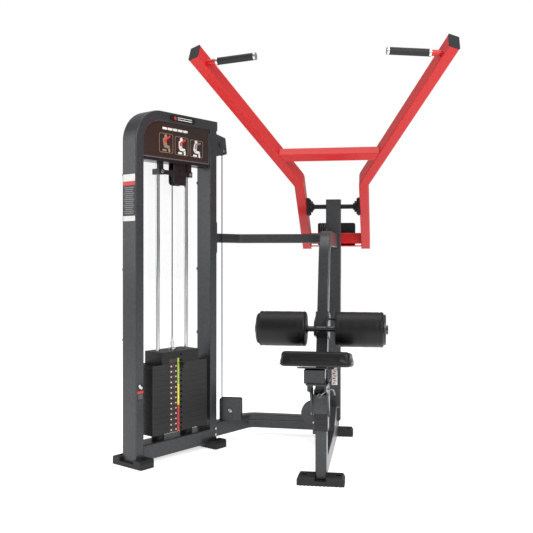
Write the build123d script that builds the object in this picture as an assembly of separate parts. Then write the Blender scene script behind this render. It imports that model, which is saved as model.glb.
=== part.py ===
from build123d import *
import math
import os

os.makedirs("parts", exist_ok=True)

# Frame: origin on the floor under the middle of the front foot, X to the right,
# Y towards the main column, Z up, all in mm.
WALL = 3.0
CORNER = 5.0
GAP = 0.3

# weight tower, which stands turned from the seat frame
TOWER_X, TOWER_Y, TOWER_TURN = -929.4, 132.4, 30.9
TUBE_THIN, TUBE_WIDE = 50.0, 100.0
TOWER_SPAN = 506.5
TOWER_TOP, TOWER_BASE_LOW, TOWER_BASE_HIGH = 1720.0, 22.0, 98.0
TOP_BEND = 135.0
TOP_BEAM_END = 560.0
PLACARD_LOW, PLACARD_THICK = 1487.0, 10.0

# feet
FOOT_WIDE, FOOT_DEEP, FOOT_HIGH = 210.0, 87.0, 40.0
FOOT_BOLT_SPAN, FOOT_BOLT_DIA = 150.0, 11.0
REAR_FOOT_Y = 929.0

# weight stack, in tower coordinates
STACK_MID = 280.0
ROD_HALF_SPAN, ROD_DIA, ROD_TOP, ROD_HOLE = 97.0, 20.0, 1488.0, 22.0
PLATE_LONG, PLATE_DEEP, PLATE_HIGH = 375.0, 132.0, 25.8
PLATE_PITCH, PLATE_COUNT, STACK_LOW = 26.15, 13, 134.0
HEAD_LONG, HEAD_DEEP = 254.0, 130.0
NARROW_HIGH, HEAD_HIGH = 25.0, 34.0
SLOT_DIA, PIN_HOLE_DIA, STEM_DIA, PIN_DIA = 30.0, 11.0, 26.0, 10.0
BUMPER_DIA, BUMPER_BORE = 62.0, 22.0

# cable and pulleys
CABLE_DIA, SPLICE = 5.6, 20.0
WRAP, GROOVE, RIM = 50.0, 46.9, 54.0
TOP_WRAP = 36.0
PULLEY_WIDE, PULLEY_BORE, PULLEY_AXLE = 22.0, 12.1, 12.0
TOP_PULLEY_Z, REAR_PULLEY_Z, REAR_PULLEY_S = 1428.0, 1606.0, 613.0
LOW_PULLEY_Y, LOW_PULLEY_Z, LEFT_PULLEY_X, RIGHT_PULLEY_X = 689.0, 172.0, -546.0, -99.0
COLUMN_PULLEY_Z = 1130.0
CHEEK, CHEEK_GAP = 4.0, 16.0
BOX_HALF, BOX_LOW, BOX_HIGH, ROUND_RADIUS = 60.0, 118.3, 238.0, 62.0

# seat frame
POST_WIDE, POST_DEEP, POST_Y, POST_LOW = 50.0, 75.0, 27.5, 24.0
POST_KNEE_Z, POST_TOP_Z, POST_LEAN = 450.0, 1090.0, 17.5
KNEE_BEND, TOP_POST_BEND = 260.0, 130.0
BEAM_LOW, BEAM_HIGH, BEAM_END = 25.0, 105.0, 960.0
COLUMN_WIDE, COLUMN_FRONT, COLUMN_BACK, COLUMN_TOP = 80.0, 817.0, 893.0, 1315.0
LINK_LOW, LINK_HIGH = 41.0, 118.0
UPPER_LINK_LOW, UPPER_LINK_HIGH, UPPER_LINK_WIDE = 1080.0, 1130.0, 40.0

# seat and thigh pads
SEAT_WIDE, SEAT_DEEP, SEAT_THICK, SEAT_FRONT = 296.0, 296.0, 64.0, -311.0
SEAT_LOW_Z, SEAT_TILT = 559.0, 8.0
SLEEVE_WIDE, SLEEVE_DEEP, SLEEVE_LOW, SLEEVE_HIGH = 62.0, 88.0, 235.0, 425.0
ROLLER_Z, ROLLER_DIA, ROLLER_IN, ROLLER_OUT = 683.6, 155.0, 64.0, 284.0
ROLLER_SHAFT = 25.0

# lever arm, drawn flat: x across, y up the arm from its top corner, z out of its lower face
ARM_Y, ARM_Z, ARM_TURN = -26.9, 1884.9, 143.4
ARM_TOP_HALF, ARM_LOW_HALF, ARM_BEND, ARM_LONG = 593.3, 196.0, -855.0, -1395.6
ARM_WIDE, ARM_DEEP = 50.5, 80.0
CROSS_HIGH, CROSS_LOW, CROSS_DEEP = -614.5, -664.5, 50.0
AXLE_Y, AXLE_Z, AXLE_DIA = 855.0, 1281.0, 25.0
LUG_Y, LUG_Z = 1072.0, COLUMN_PULLEY_Z + WRAP


nodes = {}


def save(name, shape):
    """Adds a shape to a node: a node may hold several solids that are fixed to each other."""
    nodes.setdefault(name, []).extend(shape.solids())


def write_nodes():
    for name, solids in nodes.items():
        shape = solids[0] if len(solids) == 1 else Compound(solids)
        export_step(shape, f"parts/{name}.step")


def block(x0, x1, y0, y1, z0, z1):
    size = Box(x1 - x0, y1 - y0, z1 - z0)
    return Pos((x0 + x1) / 2, (y0 + y1) / 2, (z0 + z1) / 2) * size


def rounded(x0, x1, y0, y1, z0, z1, radius, axis=Axis.Z):
    body = block(x0, x1, y0, y1, z0, z1)
    return fillet(body.edges().filter_by(axis), radius)


def rod(radius, start, end):
    direction = Vector(*end) - Vector(*start)
    return extrude(Plane(tuple(start), z_dir=direction) * Circle(radius), direction.length)


def tower(shape):
    return Pos(TOWER_X, TOWER_Y, 0) * Rot(0, 0, -TOWER_TURN) * shape


def tower_point(across, along, z):
    turn = math.radians(TOWER_TURN)
    x = TOWER_X + across * math.cos(turn) + along * math.sin(turn)
    y = TOWER_Y - across * math.sin(turn) + along * math.cos(turn)
    return (x, y, z)


def arm(shape):
    return Pos(0, ARM_Y, ARM_Z) * Rot(ARM_TURN, 0, 0) * shape


def tube_section(wide, deep):
    ring = RectangleRounded(wide, deep, CORNER)
    return ring - RectangleRounded(wide - 2 * WALL, deep - 2 * WALL, CORNER - WALL)


def tube(wide, deep, points, radii=None, side=(1, 0, 0)):
    """A hollow rectangular tube: wide lies along side, deep across it."""
    path = FilletPolyline(*points, radius=radii) if radii else Line(*points)
    plane = Plane(points[0], x_dir=side, z_dir=Vector(*points[1]) - Vector(*points[0]))
    return sweep(plane * tube_section(wide, deep), path=path)


def foot(slot):
    body = block(-FOOT_WIDE / 2, FOOT_WIDE / 2, -FOOT_DEEP / 2, FOOT_DEEP / 2, 0, FOOT_HIGH)
    body = chamfer(body.edges().group_by(Axis.Z)[-1].filter_by(Axis.Y), 14, 9)
    body = fillet(body.edges().filter_by(Axis.Z), 8)
    body -= block(-slot / 2 - GAP, slot / 2 + GAP, -FOOT_DEEP, FOOT_DEEP, TOWER_BASE_LOW - GAP, FOOT_HIGH * 2)
    scallop_count, scallop_radius = 12, 5.0
    for i in range(scallop_count):
        x = FOOT_WIDE / scallop_count * (i + 0.5) - FOOT_WIDE / 2
        for y in (-FOOT_DEEP / 2 - 1, FOOT_DEEP / 2 + 1):
            body -= rod(scallop_radius, (x, y, -2.5), (x, y - math.copysign(6, y), -2.5))
    for x in (-FOOT_BOLT_SPAN / 2, FOOT_BOLT_SPAN / 2):
        body -= rod(FOOT_BOLT_DIA / 2, (x, 0, -1), (x, 0, FOOT_HIGH + 1))
        body -= rod(13, (x, 0, 26), (x, 0, FOOT_HIGH + 1))
    return body


def bolt(center, axis, head=8.5, high=6.0):
    """A domed button head with its hexagon socket."""
    plane = Plane(center, z_dir=axis)
    body = extrude(plane * Circle(head), high)
    socket = extrude(plane.offset(high * 0.4) * RegularPolygon(head * 0.5, 6), high)
    return body - socket


def pulley(center, axis, wrap):
    groove = wrap - WRAP + GROOVE
    rim = wrap - WRAP + RIM
    half = PULLEY_WIDE / 2
    profile = [(PULLEY_BORE / 2, -half), (rim, -half), (rim, -half + 3), (groove, -2)]
    profile += [(groove, 2), (rim, half - 3), (rim, half), (PULLEY_BORE / 2, half)]
    face = Plane.XZ * make_face(Polyline(*profile, close=True))
    wheel = revolve(face, Axis.Z, 360)
    wheel -= Pos(0, 0, half) * (Cylinder(groove - 8, 8) - Cylinder(15, 8))
    wheel -= Pos(0, 0, -half) * (Cylinder(groove - 8, 8) - Cylinder(15, 8))
    return Location(Plane(center, z_dir=axis)) * wheel


def cable(points, radii):
    path = FilletPolyline(*points, radius=radii) if radii else Line(*points)
    start = Plane(points[0], z_dir=Vector(*points[1]) - Vector(*points[0]))
    return sweep(start * Circle(CABLE_DIA / 2), path=path)


def build_tower_frame():
    mid = TUBE_THIN / 2
    beam_z = TOWER_TOP - mid
    front_path = [(0, mid, TOWER_BASE_LOW), (0, mid, beam_z), (0, TOP_BEAM_END, beam_z)]
    front = tube(TUBE_WIDE, TUBE_THIN, front_path, [TOP_BEND])
    save("tower_front_frame", tower(front))
    rear_top = TOWER_TOP - TUBE_THIN
    rear_mid = TOWER_SPAN + mid
    rear = tube(TUBE_WIDE, TUBE_THIN, [(0, rear_mid, TOWER_BASE_LOW), (0, rear_mid, rear_top)])
    slot_half, slot_low, slot_high = 9, 1578, 1652
    rear -= block(-slot_half, slot_half, TOWER_SPAN - 1, TOWER_SPAN + TUBE_THIN + 1, slot_low, slot_high)
    save("tower_rear_upright", tower(rear))
    base_mid = (TOWER_BASE_LOW + TOWER_BASE_HIGH) / 2
    base = tube(TUBE_WIDE, TOWER_BASE_HIGH - TOWER_BASE_LOW,
                [(0, TUBE_THIN, base_mid), (0, TOWER_SPAN, base_mid)])
    save("tower_base_beam", tower(base))
    save("tower_feet", tower(Pos(0, mid, 0) * foot(TUBE_WIDE)))
    save("tower_feet", tower(Pos(0, rear_mid, 0) * foot(TUBE_WIDE)))


def build_placard():
    left, right, top = TUBE_THIN + GAP, TOWER_SPAN - GAP, TOWER_TOP - TUBE_THIN - GAP
    body = block(-PLACARD_THICK / 2, PLACARD_THICK / 2, left, right, PLACARD_LOW, top)
    corner = body.edges().filter_by(Axis.X).group_by(Axis.Y)[0].sort_by(Axis.Z)[-1]
    body = fillet(corner, TOP_BEND - TUBE_THIN / 2 + 1)
    face_at = TUBE_WIDE / 2 - 12
    save("placard_panel", tower(Pos(face_at, 0, 0) * body))
    lip = block(face_at - 5, face_at + 8, left, right, PLACARD_LOW - 14, PLACARD_LOW - GAP)
    save("placard_panel", tower(lip))


def rod_positions():
    return (STACK_MID - ROD_HALF_SPAN, STACK_MID + ROD_HALF_SPAN)


def build_guides():
    rods = [rod(ROD_DIA / 2, (0, s, TOWER_BASE_HIGH), (0, s, ROD_TOP)) for s in rod_positions()]
    save("guide_rods", tower(Compound(rods)))
    bumpers = []
    for s in rod_positions():
        ring = rod(BUMPER_DIA / 2, (0, s, TOWER_BASE_HIGH + GAP), (0, s, STACK_LOW - GAP))
        ring -= rod(BUMPER_BORE / 2, (0, s, TOWER_BASE_HIGH - 1), (0, s, STACK_LOW + 1))
        bumpers.append(fillet(ring.edges().group_by(Axis.Z)[-1][0:1], 3))
    save("stack_bumpers", tower(Compound(bumpers)))


def stack_plate(long, deep, low, high, chamfered=True):
    body = block(-deep / 2, deep / 2, STACK_MID - long / 2, STACK_MID + long / 2, low, high)
    if chamfered:
        body = chamfer(body.edges().filter_by(Axis.Z), 4)
    for s in rod_positions():
        body -= rod(ROD_HOLE / 2, (0, s, low - 1), (0, s, high + 1))
    body -= rod(SLOT_DIA / 2, (0, STACK_MID, low - 1), (0, STACK_MID, high + 1))
    middle = (low + high) / 2
    return body - rod(PIN_HOLE_DIA / 2, (-3, STACK_MID, middle), (deep, STACK_MID, middle))


def build_stack():
    plates = []
    for i in range(PLATE_COUNT):
        low = STACK_LOW + PLATE_PITCH * i
        plates.append(stack_plate(PLATE_LONG, PLATE_DEEP, low, low + PLATE_HIGH))
    save("lifted_plate", tower(plates[-1]))
    for i in range(PLATE_COUNT - 1):
        save("resting_plates", tower(plates[i]))
    narrow_low = STACK_LOW + PLATE_PITCH * PLATE_COUNT
    narrow_high = narrow_low + NARROW_HIGH
    save("head_plate", tower(stack_plate(HEAD_LONG, HEAD_DEEP, narrow_low, narrow_high)))
    head_low = narrow_high + GAP
    head_high = head_low + HEAD_HIGH
    head = stack_plate(HEAD_LONG, HEAD_DEEP, head_low, head_high)
    save("head_plate", tower(head))
    stem_low = STACK_LOW + PLATE_PITCH * (PLATE_COUNT - 1) - 16
    stem = rod(STEM_DIA / 2, (0, STACK_MID, stem_low), (0, STACK_MID, head_high))
    stem += rod(21, (0, STACK_MID, head_high), (0, STACK_MID, head_high + 10))
    pin_z = STACK_LOW + PLATE_PITCH * (PLATE_COUNT - 1) + PLATE_HIGH / 2
    stem -= rod(PIN_HOLE_DIA / 2, (-STEM_DIA, STACK_MID, pin_z), (STEM_DIA, STACK_MID, pin_z))
    save("selector_stem", tower(stem))
    fitting_high = head_high + 62
    fitting = rod(7, (0, STACK_MID, head_high + 10 + GAP), (0, STACK_MID, fitting_high))
    fitting += rod(11, (0, STACK_MID, head_high + 22), (0, STACK_MID, head_high + 38))
    save("selector_stem", tower(fitting))
    face = PLATE_DEEP / 2
    pin = rod(PIN_DIA / 2, (-STEM_DIA / 2, STACK_MID, pin_z), (face + 14, STACK_MID, pin_z))
    knob = rod(13, (face + 2, STACK_MID, pin_z), (face + 30, STACK_MID, pin_z))
    knob = fillet(knob.edges(), 4)
    save("selector_pin", tower(pin + knob))
    return fitting_high


def cheeks(center_z, center_s, low, high, start, end):
    plates = []
    for side in (-1, 1):
        inner = side * CHEEK_GAP
        outer = side * (CHEEK_GAP + CHEEK)
        plate = block(min(inner, outer), max(inner, outer), start, end, low, high)
        plate -= rod(PULLEY_AXLE / 2 - 0.02, (-30, center_s, center_z), (30, center_s, center_z))
        plates.append(plate)
    return plates


def build_top_pulleys():
    center_s = STACK_MID + TOP_WRAP
    center = tower_point(0, center_s, TOP_PULLEY_Z)
    turn = math.radians(TOWER_TURN)
    axis = (math.cos(turn), -math.sin(turn), 0)
    save("tower_pulley", pulley(center, axis, TOP_WRAP))
    low, high = TOP_PULLEY_Z - 62, PLACARD_LOW - 14 - GAP
    bracket = cheeks(TOP_PULLEY_Z, center_s, low, high, center_s - 42, center_s + 42)
    plates = Compound([fillet(p.edges().filter_by(Axis.X).group_by(Axis.Z)[0], 20) for p in bracket])
    save("tower_pulley_cheeks", tower(plates))
    shaft = rod(PULLEY_AXLE / 2 - 0.05, (-26, center_s, TOP_PULLEY_Z), (26, center_s, TOP_PULLEY_Z))
    shaft += rod(10, (CHEEK_GAP + CHEEK + 0.1, center_s, TOP_PULLEY_Z), (30, center_s, TOP_PULLEY_Z))
    save("tower_pulley_cheeks", tower(shaft))
    build_crosshead(low, high)
    build_rear_pulley(axis)


def build_crosshead(low, high):
    """The cross member that holds the guide rod tops and the pulley cheeks."""
    bar_low, bar_high = PLACARD_LOW - 14, PLACARD_LOW + 30
    bar = block(-36, 25, TUBE_THIN, TOWER_SPAN, bar_low, bar_high)
    for s in rod_positions():
        bar -= rod(ROD_DIA / 2 + 0.02, (0, s, bar_low - 1), (0, s, ROD_TOP + 0.02))
    cable_slot = STACK_MID + TOP_WRAP
    bar -= block(-7, 7, STACK_MID - 10, cable_slot + 190, bar_low - 1, bar_high + 1)
    save("rod_crosshead", tower(bar))
    collars = []
    for s in rod_positions():
        collar = block(-22, 30, s - 17, s + 17, bar_low - 62, bar_low - 34)
        collar -= rod(ROD_DIA / 2 + 0.05, (0, s, bar_low - 70), (0, s, bar_low))
        collar += block(12, 24, s - 16, s + 16, bar_low - 34, bar_low - GAP)
        collar += rod(6, (30, s, bar_low - 48), (36, s, bar_low - 48))
        collars.append(collar)
    save("rod_crosshead", tower(Compound(collars)))


def build_rear_pulley(axis):
    center = tower_point(0, REAR_PULLEY_S, REAR_PULLEY_Z)
    save("rear_pulley", pulley(center, axis, TOP_WRAP))
    face_s = TOWER_SPAN + TUBE_THIN
    outline = [(face_s + GAP, 1545), (625, 1549), (668, 1562), (655, 1648), (face_s + GAP, 1667)]
    plates = []
    for x in (CHEEK_GAP, -CHEEK_GAP - CHEEK):
        plane = Plane((x, 0, 0), x_dir=(0, 1, 0), z_dir=(1, 0, 0))
        plate = extrude(plane * make_face(Polyline(*outline, close=True)), CHEEK)
        plate = fillet(plate.edges().filter_by(Axis.X).group_by(Axis.Y)[-1], 8)
        axle_hole = rod(PULLEY_AXLE / 2 - 0.02, (-30, REAR_PULLEY_S, REAR_PULLEY_Z),
                        (30, REAR_PULLEY_S, REAR_PULLEY_Z))
        plates.append(plate - axle_hole)
    save("rear_pulley_bracket", tower(Compound(plates)))
    shaft = rod(PULLEY_AXLE / 2 - 0.05, (-27, REAR_PULLEY_S, REAR_PULLEY_Z),
                (27, REAR_PULLEY_S, REAR_PULLEY_Z))
    shaft += rod(10, (CHEEK_GAP + CHEEK + 0.1, REAR_PULLEY_S, REAR_PULLEY_Z),
                 (CHEEK_GAP + CHEEK + 6, REAR_PULLEY_S, REAR_PULLEY_Z))
    save("rear_pulley_bracket", tower(shaft))


def build_cables(fitting_high):
    mid_s = STACK_MID
    run = [tower_point(0, mid_s, TOP_PULLEY_Z - SPLICE)]
    rise = math.atan2(REAR_PULLEY_Z - TOP_PULLEY_Z, REAR_PULLEY_S - mid_s - TOP_WRAP)
    corner = TOP_WRAP * math.tan((math.pi / 2 - rise) / 2)
    far_corner = TOP_WRAP * math.tan((math.pi / 2 + rise) / 2)
    run.append(tower_point(0, mid_s, TOP_PULLEY_Z + corner))
    down_s = REAR_PULLEY_S + TOP_WRAP
    run.append(tower_point(0, down_s, REAR_PULLEY_Z + far_corner))
    run.append(tower_point(0, down_s, LOW_PULLEY_Z + SPLICE + 0.1))
    save("cable_tower", cable(run, [TOP_WRAP, TOP_WRAP]))
    low_z = LOW_PULLEY_Z - WRAP
    left = LEFT_PULLEY_X - WRAP
    right = RIGHT_PULLEY_X + WRAP
    far_y = LOW_PULLEY_Y + WRAP + SPLICE
    top_z = COLUMN_PULLEY_Z + WRAP
    floor_run = [(left, LOW_PULLEY_Y, LOW_PULLEY_Z + SPLICE), (left, LOW_PULLEY_Y, low_z)]
    floor_run += [(right, LOW_PULLEY_Y, low_z), (right, LOW_PULLEY_Y, top_z)]
    floor_run.append((right, far_y, top_z))
    save("cable_floor", cable(floor_run, [WRAP, WRAP, WRAP]))
    stack_run = [tower_point(0, mid_s, fitting_high), tower_point(0, mid_s, TOP_PULLEY_Z - SPLICE - 0.1)]
    save("cable_stack", cable(stack_run, None))
    lever_run = [(right, far_y + 0.1, top_z), (right, LUG_Y - 60, top_z)]
    save("cable_lever", cable(lever_run, None))


def build_low_pulleys():
    y_axis = (0, 1, 0)
    save("left_pulley", pulley((LEFT_PULLEY_X, LOW_PULLEY_Y, LOW_PULLEY_Z), y_axis, WRAP))
    save("right_pulley", pulley((RIGHT_PULLEY_X, LOW_PULLEY_Y, LOW_PULLEY_Z), y_axis, WRAP))
    box_plates = []
    round_plates = []
    for y in (LOW_PULLEY_Y - CHEEK_GAP - CHEEK, LOW_PULLEY_Y + CHEEK_GAP):
        plate = block(LEFT_PULLEY_X - BOX_HALF, LEFT_PULLEY_X + BOX_HALF, y, y + CHEEK, BOX_LOW, BOX_HIGH)
        plate = fillet(plate.edges().filter_by(Axis.Y).group_by(Axis.Z)[-1], 10)
        box_plates.append(plate - low_axle_hole(LEFT_PULLEY_X))
        disc = rod(ROUND_RADIUS, (RIGHT_PULLEY_X, y, LOW_PULLEY_Z), (RIGHT_PULLEY_X, y + CHEEK, LOW_PULLEY_Z))
        neck = block(RIGHT_PULLEY_X, -POST_WIDE / 2 - GAP, y, y + CHEEK, 60, LOW_PULLEY_Z + ROUND_RADIUS)
        round_plates.append(disc + neck - low_axle_hole(RIGHT_PULLEY_X))
    save("left_pulley_box", Compound(box_plates))
    save("right_pulley_housing", Compound(round_plates))
    axles = []
    for x in (LEFT_PULLEY_X, RIGHT_PULLEY_X):
        axle = rod(PULLEY_AXLE / 2 - 0.05, (x, LOW_PULLEY_Y - 22, LOW_PULLEY_Z), (x, LOW_PULLEY_Y + 24, LOW_PULLEY_Z))
        head_at = LOW_PULLEY_Y - CHEEK_GAP - CHEEK - 0.1
        axles.append(axle + rod(10, (x, head_at - 6, LOW_PULLEY_Z), (x, head_at, LOW_PULLEY_Z)))
    save("frame_bolts", Compound(axles))


def low_axle_hole(x):
    return rod(PULLEY_AXLE / 2 - 0.02, (x, LOW_PULLEY_Y - 40, LOW_PULLEY_Z), (x, LOW_PULLEY_Y + 40, LOW_PULLEY_Z))


def build_column_pulley():
    x = RIGHT_PULLEY_X + WRAP
    y = LOW_PULLEY_Y + WRAP
    save("column_pulley", pulley((x, y, COLUMN_PULLEY_Z), (1, 0, 0), WRAP))
    tube_side = -POST_WIDE / 2
    plate = rounded(tube_side - 6.2, tube_side - 0.2, y - 34, y + 34, 1062, COLUMN_PULLEY_Z + 22, 12, Axis.X)
    plate -= rod(PULLEY_AXLE / 2 - 0.02, (-90, y, COLUMN_PULLEY_Z), (0, y, COLUMN_PULLEY_Z))
    save("column_pulley_bracket", plate)
    axle = rod(PULLEY_AXLE / 2 - 0.05, (x - 14, y, COLUMN_PULLEY_Z), (tube_side - 0.3, y, COLUMN_PULLEY_Z))
    axle += rod(10, (x - 20, y, COLUMN_PULLEY_Z), (x - PULLEY_WIDE / 2 - 0.5, y, COLUMN_PULLEY_Z))
    save("column_pulley_bracket", axle)


def build_links():
    turn = math.radians(TOWER_TURN)
    low_mid = (LINK_LOW + LINK_HIGH) / 2
    start = tower_point(0, TOWER_SPAN + TUBE_THIN + GAP, low_mid)
    side = (math.cos(turn), -math.sin(turn), 0)
    column_side = -COLUMN_WIDE / 2 - 2.5
    path = [start, (-478, 884, low_mid), (column_side, 866, low_mid)]
    save("lower_link_beam", tube(TUBE_THIN, LINK_HIGH - LINK_LOW, path, [70], side))
    high_mid = (UPPER_LINK_LOW + UPPER_LINK_HIGH) / 2
    plate_thick = 8
    plate_s = TOWER_SPAN + TUBE_THIN + GAP
    plate = block(-49, 44, plate_s, plate_s + plate_thick, 1023, 1189)
    save("upper_link_beam", tower(fillet(plate.edges().filter_by(Axis.Y), 8)))
    beside_cable = -30
    start = tower_point(beside_cable, plate_s + plate_thick + 0.1, high_mid)
    path = [start, (-530, 831, high_mid), (column_side, 862, high_mid)]
    save("upper_link_beam", tube(UPPER_LINK_WIDE, UPPER_LINK_HIGH - UPPER_LINK_LOW, path, [60], side))


def post_path():
    top_y = POST_Y + (POST_TOP_Z - POST_KNEE_Z) * math.tan(math.radians(POST_LEAN))
    return [(0, POST_Y, POST_LOW), (0, POST_Y, POST_KNEE_Z), (0, top_y, POST_TOP_Z),
            (0, COLUMN_FRONT - GAP, POST_TOP_Z)]


def build_seat_frame():
    save("front_foot", foot(POST_WIDE))
    save("rear_foot", Pos(0, REAR_FOOT_Y, 0) * foot(POST_WIDE))
    save("front_post", tube(POST_WIDE, POST_DEEP, post_path(), [60, TOP_POST_BEND]))
    mid = (BEAM_LOW + BEAM_HIGH) / 2
    beam_start = POST_Y + POST_DEEP / 2 + GAP
    save("base_beam", tube(POST_WIDE, BEAM_HIGH - BEAM_LOW, [(0, beam_start, mid), (0, BEAM_END, mid)]))
    column_mid = (COLUMN_FRONT + COLUMN_BACK) / 2
    column = tube(COLUMN_WIDE, COLUMN_BACK - COLUMN_FRONT,
                  [(0, column_mid, BEAM_HIGH + GAP), (0, column_mid, COLUMN_TOP)])
    column -= rod(AXLE_DIA / 2 + 0.02, (-60, AXLE_Y, AXLE_Z), (60, AXLE_Y, AXLE_Z))
    save("main_column", column)
    cap = rounded(-40, 40, COLUMN_FRONT, COLUMN_BACK, COLUMN_TOP + 0.1, COLUMN_TOP + 4, CORNER)
    save("main_column", cap)
    gusset = [(560, BEAM_HIGH + GAP), (COLUMN_FRONT - GAP, BEAM_HIGH + GAP), (COLUMN_FRONT - GAP, 215), (730, 195)]
    plane = Plane((-22, 0, 0), x_dir=(0, 1, 0), z_dir=(1, 0, 0))
    save("base_beam", extrude(plane * make_face(Polyline(*gusset, close=True)), 44))


def build_frame_bolts():
    bolts = [bolt((RIGHT_PULLEY_X + 6, LOW_PULLEY_Y - CHEEK_GAP - CHEEK, 122), (0, -1, 0), 5, 4)]
    for z in (BEAM_LOW + 50, BEAM_LOW + 66):
        bolts.append(bolt((COLUMN_WIDE / 2 - 14.8, 850, z), (1, 0, 0), 7, 6))
    turn = math.radians(TOWER_TURN)
    side = (math.cos(turn), -math.sin(turn), 0)
    for z in (62, 94):
        bolts.append(bolt(tower_point(TUBE_WIDE / 2, TOWER_SPAN + 38, z), side, 6, 4))
    for z in (1042, 1170):
        for across in (-32, 32):
            at = tower_point(across, TOWER_SPAN + TUBE_THIN + GAP + 8, z)
            bolts.append(bolt(at, (math.sin(turn), math.cos(turn), 0), 7, 5))
    save("frame_bolts", Compound(bolts))


def build_seat():
    inner_wide, inner_deep = POST_WIDE + 2 * GAP, POST_DEEP + 2 * GAP
    sleeve = rounded(-SLEEVE_WIDE / 2, SLEEVE_WIDE / 2, POST_Y - SLEEVE_DEEP / 2, POST_Y + SLEEVE_DEEP / 2,
                     SLEEVE_LOW, SLEEVE_HIGH - 10, 6)
    sleeve -= block(-inner_wide / 2, inner_wide / 2, POST_Y - inner_deep / 2, POST_Y + inner_deep / 2,
                    SLEEVE_LOW - 1, SLEEVE_HIGH + 1)
    front = POST_Y - SLEEVE_DEEP / 2
    for rib in range(5):
        z = SLEEVE_LOW + 20 + rib * 26
        sleeve += block(-24, 24, front - 2.5, front + 0.5, z, z + 8)
    save("seat_carriage", sleeve)
    arm_outline = [(front - GAP - 2.5, 300), (front - GAP - 2.5, 414), (-60, 470), (-220, 470), (-220, 446), (-110, 420)]
    plates = []
    for x in (-40, 32):
        plane = Plane((x, 0, 0), x_dir=(0, 1, 0), z_dir=(1, 0, 0))
        plates.append(extrude(plane * make_face(Polyline(*arm_outline, close=True)), 8))
    cross = block(-31.7, 31.7, -48, -28, 318, 400)
    plates[1] -= block(30, 42, -90, -60, 402, 456)
    save("seat_bracket", Compound(plates + [cross]))
    lower_plate = block(-46, 46, -226, -60, 470 + GAP, 476)
    save("seat_bracket", lower_plate)
    box = block(-54, 32, -215, -95, 476 + GAP, 532)
    box -= seat_place(block(-200, 200, -50, 400, -6 - GAP, 100))
    save("seat_bracket", box)
    chrome = rod(6, (41, -170, 476 + GAP), (41, -170, 530))
    save("seat_bracket", chrome)
    save("seat_carriage", bolt((0, front - 0.1, 354), (0, -1, 0), 9, 5))
    plate = seat_place(block(-75, 75, 30, 250, -6, -GAP))
    save("seat_bracket", plate)
    cushion = block(-SEAT_WIDE / 2, SEAT_WIDE / 2, 0, SEAT_DEEP, 0, SEAT_THICK)
    cushion = fillet(cushion.edges().filter_by(Axis.Z), 38)
    cushion = fillet(cushion.edges().group_by(Axis.Z)[-1], 14)
    save("seat_cushion", seat_place(cushion))
    save("seat_bracket", block(56, 82, -150, -148, 462, 530) + block(46, 57, -160, -148, 470.3, 476))


def seat_place(shape):
    return Pos(0, SEAT_FRONT, SEAT_LOW_Z) * Rot(-SEAT_TILT, 0, 0) * shape


def build_seat_lever():
    y = -75
    stem = cable_like(4, [(0, y, 403), (57, y, 440), (80, y, 355)], [14])
    hub = rod(9, (0, y - 7, 403), (0, y + 7, 403))
    save("seat_lever", stem + hub - rod(4.06, (0, y - 20, 403), (0, y + 20, 403)))
    grip = rod(7.5, (66.5, y, 405), (79, y, 358.7))
    save("seat_lever_grip", grip - rod(4.1, (57, y, 440), (80.3, y, 353.9)))
    pivot = rod(4, (0, y - 12, 403), (0, -48, 403)) + rod(7, (0, y - 14, 403), (0, y - 7.5, 403))
    save("seat_bracket", pivot)


def cable_like(radius, points, radii):
    start = Plane(points[0], z_dir=Vector(*points[1]) - Vector(*points[0]))
    return sweep(start * Circle(radius), path=FilletPolyline(*points, radius=radii))


def lean_place(shape, z):
    """Puts a shape made about the origin on the leaning run of the post at height z."""
    y = POST_Y + (z - POST_KNEE_Z) * math.tan(math.radians(POST_LEAN))
    return Pos(0, y, z) * Rot(-POST_LEAN, 0, 0) * shape


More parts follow.
